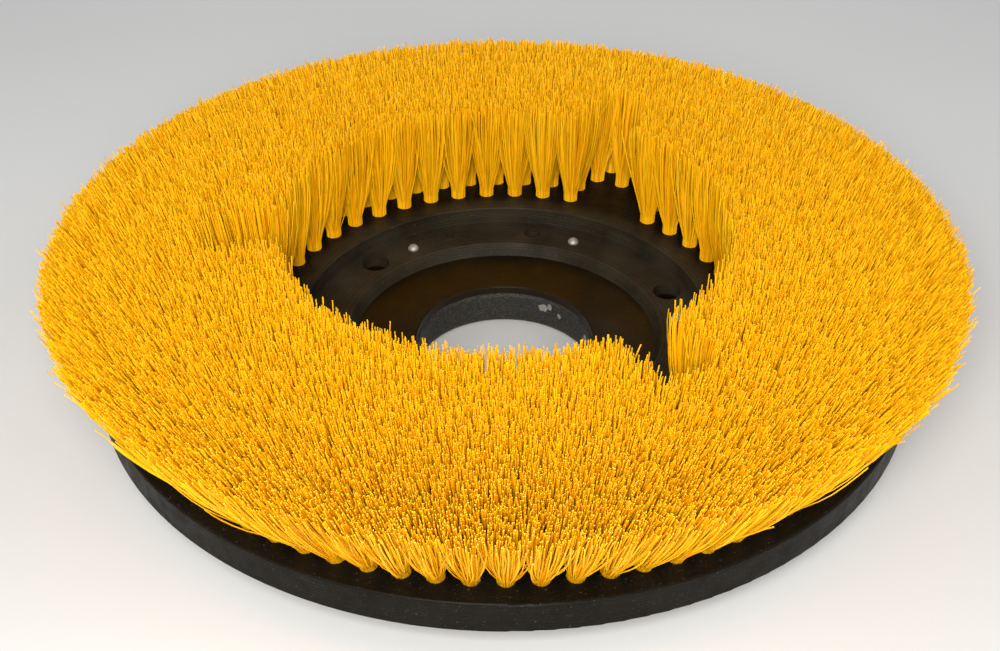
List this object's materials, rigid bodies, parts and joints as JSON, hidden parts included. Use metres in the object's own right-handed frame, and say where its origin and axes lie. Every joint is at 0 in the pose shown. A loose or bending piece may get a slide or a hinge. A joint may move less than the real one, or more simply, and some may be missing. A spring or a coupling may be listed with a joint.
{
  "type": "wheel brush",
  "caption": "Rotary disc brush lying bristles up: dark moulded block with a stepped opening and a cast drive hub, rings of flared yellow bristle tufts and notches in the inner rings.",
  "frame": {"origin": "centre of the hub's bottom face, which the brush lies on", "axes": "+Z along the axis of turning, from the machine side towards the bristle tips; +X and +Y across the disc"},
  "size_m": [0.3594, 0.3594, 0.0786],
  "materials": {
    "block": "satin moulded polypropylene, dark brown-black",
    "plate": "satin brown-black paint on steel plate",
    "casting": "grainy black paint on a casting, chipped in places",
    "screw": "zinc-plated steel",
    "bristle": "crimped golden yellow nylon filament",
    "anchor_wire": "flat staple wire"
  },
  "bodies": {
    "root": {"block": "block", "drive_plate": "plate", "cast_hub": "casting", "hub_screws": "screw", "lock_washers": "screw", "tufts_row_1_arc_1": "bristle", "tufts_row_1_arc_2": "bristle", "tufts_row_1_arc_3": "bristle", "tufts_row_2_arc_1": "bristle", "tufts_row_2_arc_2": "bristle", "tufts_row_2_arc_3": "bristle", "tufts_row_3": "bristle", "tufts_row_4": "bristle", "tufts_row_5": "bristle", "tufts_row_6": "bristle", "anchors_row_1_arc_1": "anchor_wire", "anchors_row_1_arc_2": "anchor_wire", "anchors_row_1_arc_3": "anchor_wire", "anchors_row_2_arc_1": "anchor_wire", "anchors_row_2_arc_2": "anchor_wire", "anchors_row_2_arc_3": "anchor_wire", "anchors_row_3": "anchor_wire", "anchors_row_4": "anchor_wire", "anchors_row_5": "anchor_wire", "anchors_row_6": "anchor_wire"}
  },
  "joints": []
}
